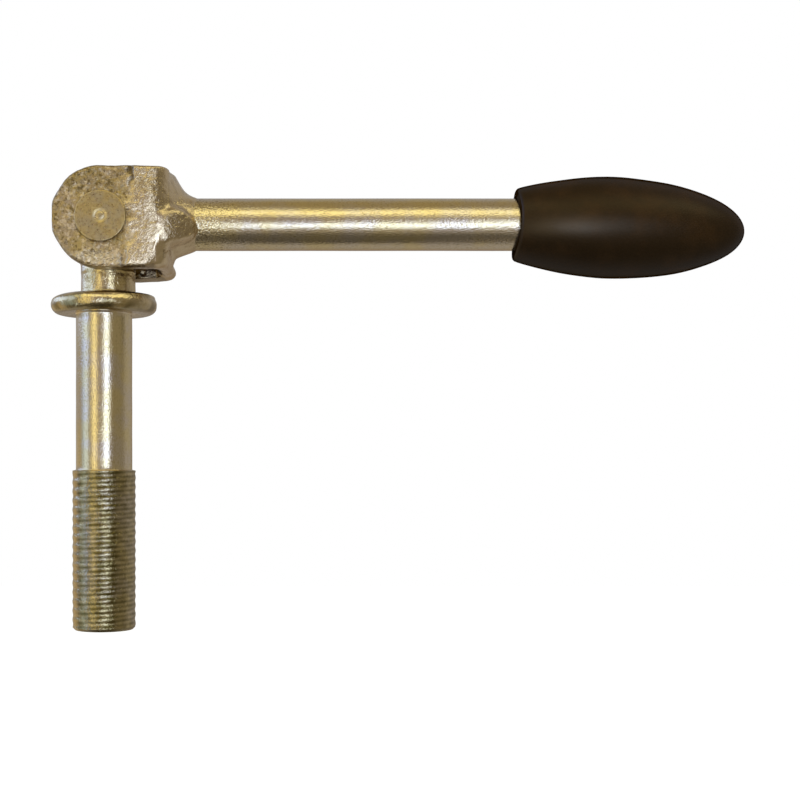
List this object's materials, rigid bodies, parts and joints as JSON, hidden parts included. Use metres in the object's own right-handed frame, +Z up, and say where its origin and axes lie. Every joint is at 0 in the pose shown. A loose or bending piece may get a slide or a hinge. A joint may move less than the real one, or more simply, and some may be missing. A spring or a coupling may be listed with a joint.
{
  "type": "hinged clamping handle",
  "caption": "Clamp screw with a collar and a forged eye, pinned into the fork of a swing-over lever: a round bar welded to the fork, with a soft spindle-shaped grip.",
  "frame": {"origin": "on the screw axis, in the plane of the collar's underside, where the screw seats", "axes": "+Z up the screw from thread to eye, +X along the lever at rest, +Y away from the viewer of the picture"},
  "size_m": [0.1329, 0.0202, 0.0871],
  "materials": {
    "screw_zinc": "yellow-passivated zinc on rolled steel",
    "fork_zinc": "yellow-passivated zinc on rough forged steel",
    "pin_zinc": "yellow-passivated zinc on turned steel",
    "bar_zinc": "yellow-passivated zinc on drawn steel",
    "weld_zinc": "yellow-passivated zinc on weld metal",
    "grip_rubber": "satin black moulded rubber"
  },
  "bodies": {
    "screw": {"clamp_screw": "screw_zinc"},
    "handle": {"fork": "fork_zinc", "pivot_pin": "pin_zinc", "handle_bar": "bar_zinc", "weld_bead": "weld_zinc", "grip": "grip_rubber"}
  },
  "joints": [
    {"name": "handle_swing", "type": "hinge", "parent": "screw", "child": "handle", "pos_m": [0.0008, 0, 0.0171], "axis": [0, -1, 0], "range_deg": [-20, 200]}
  ]
}
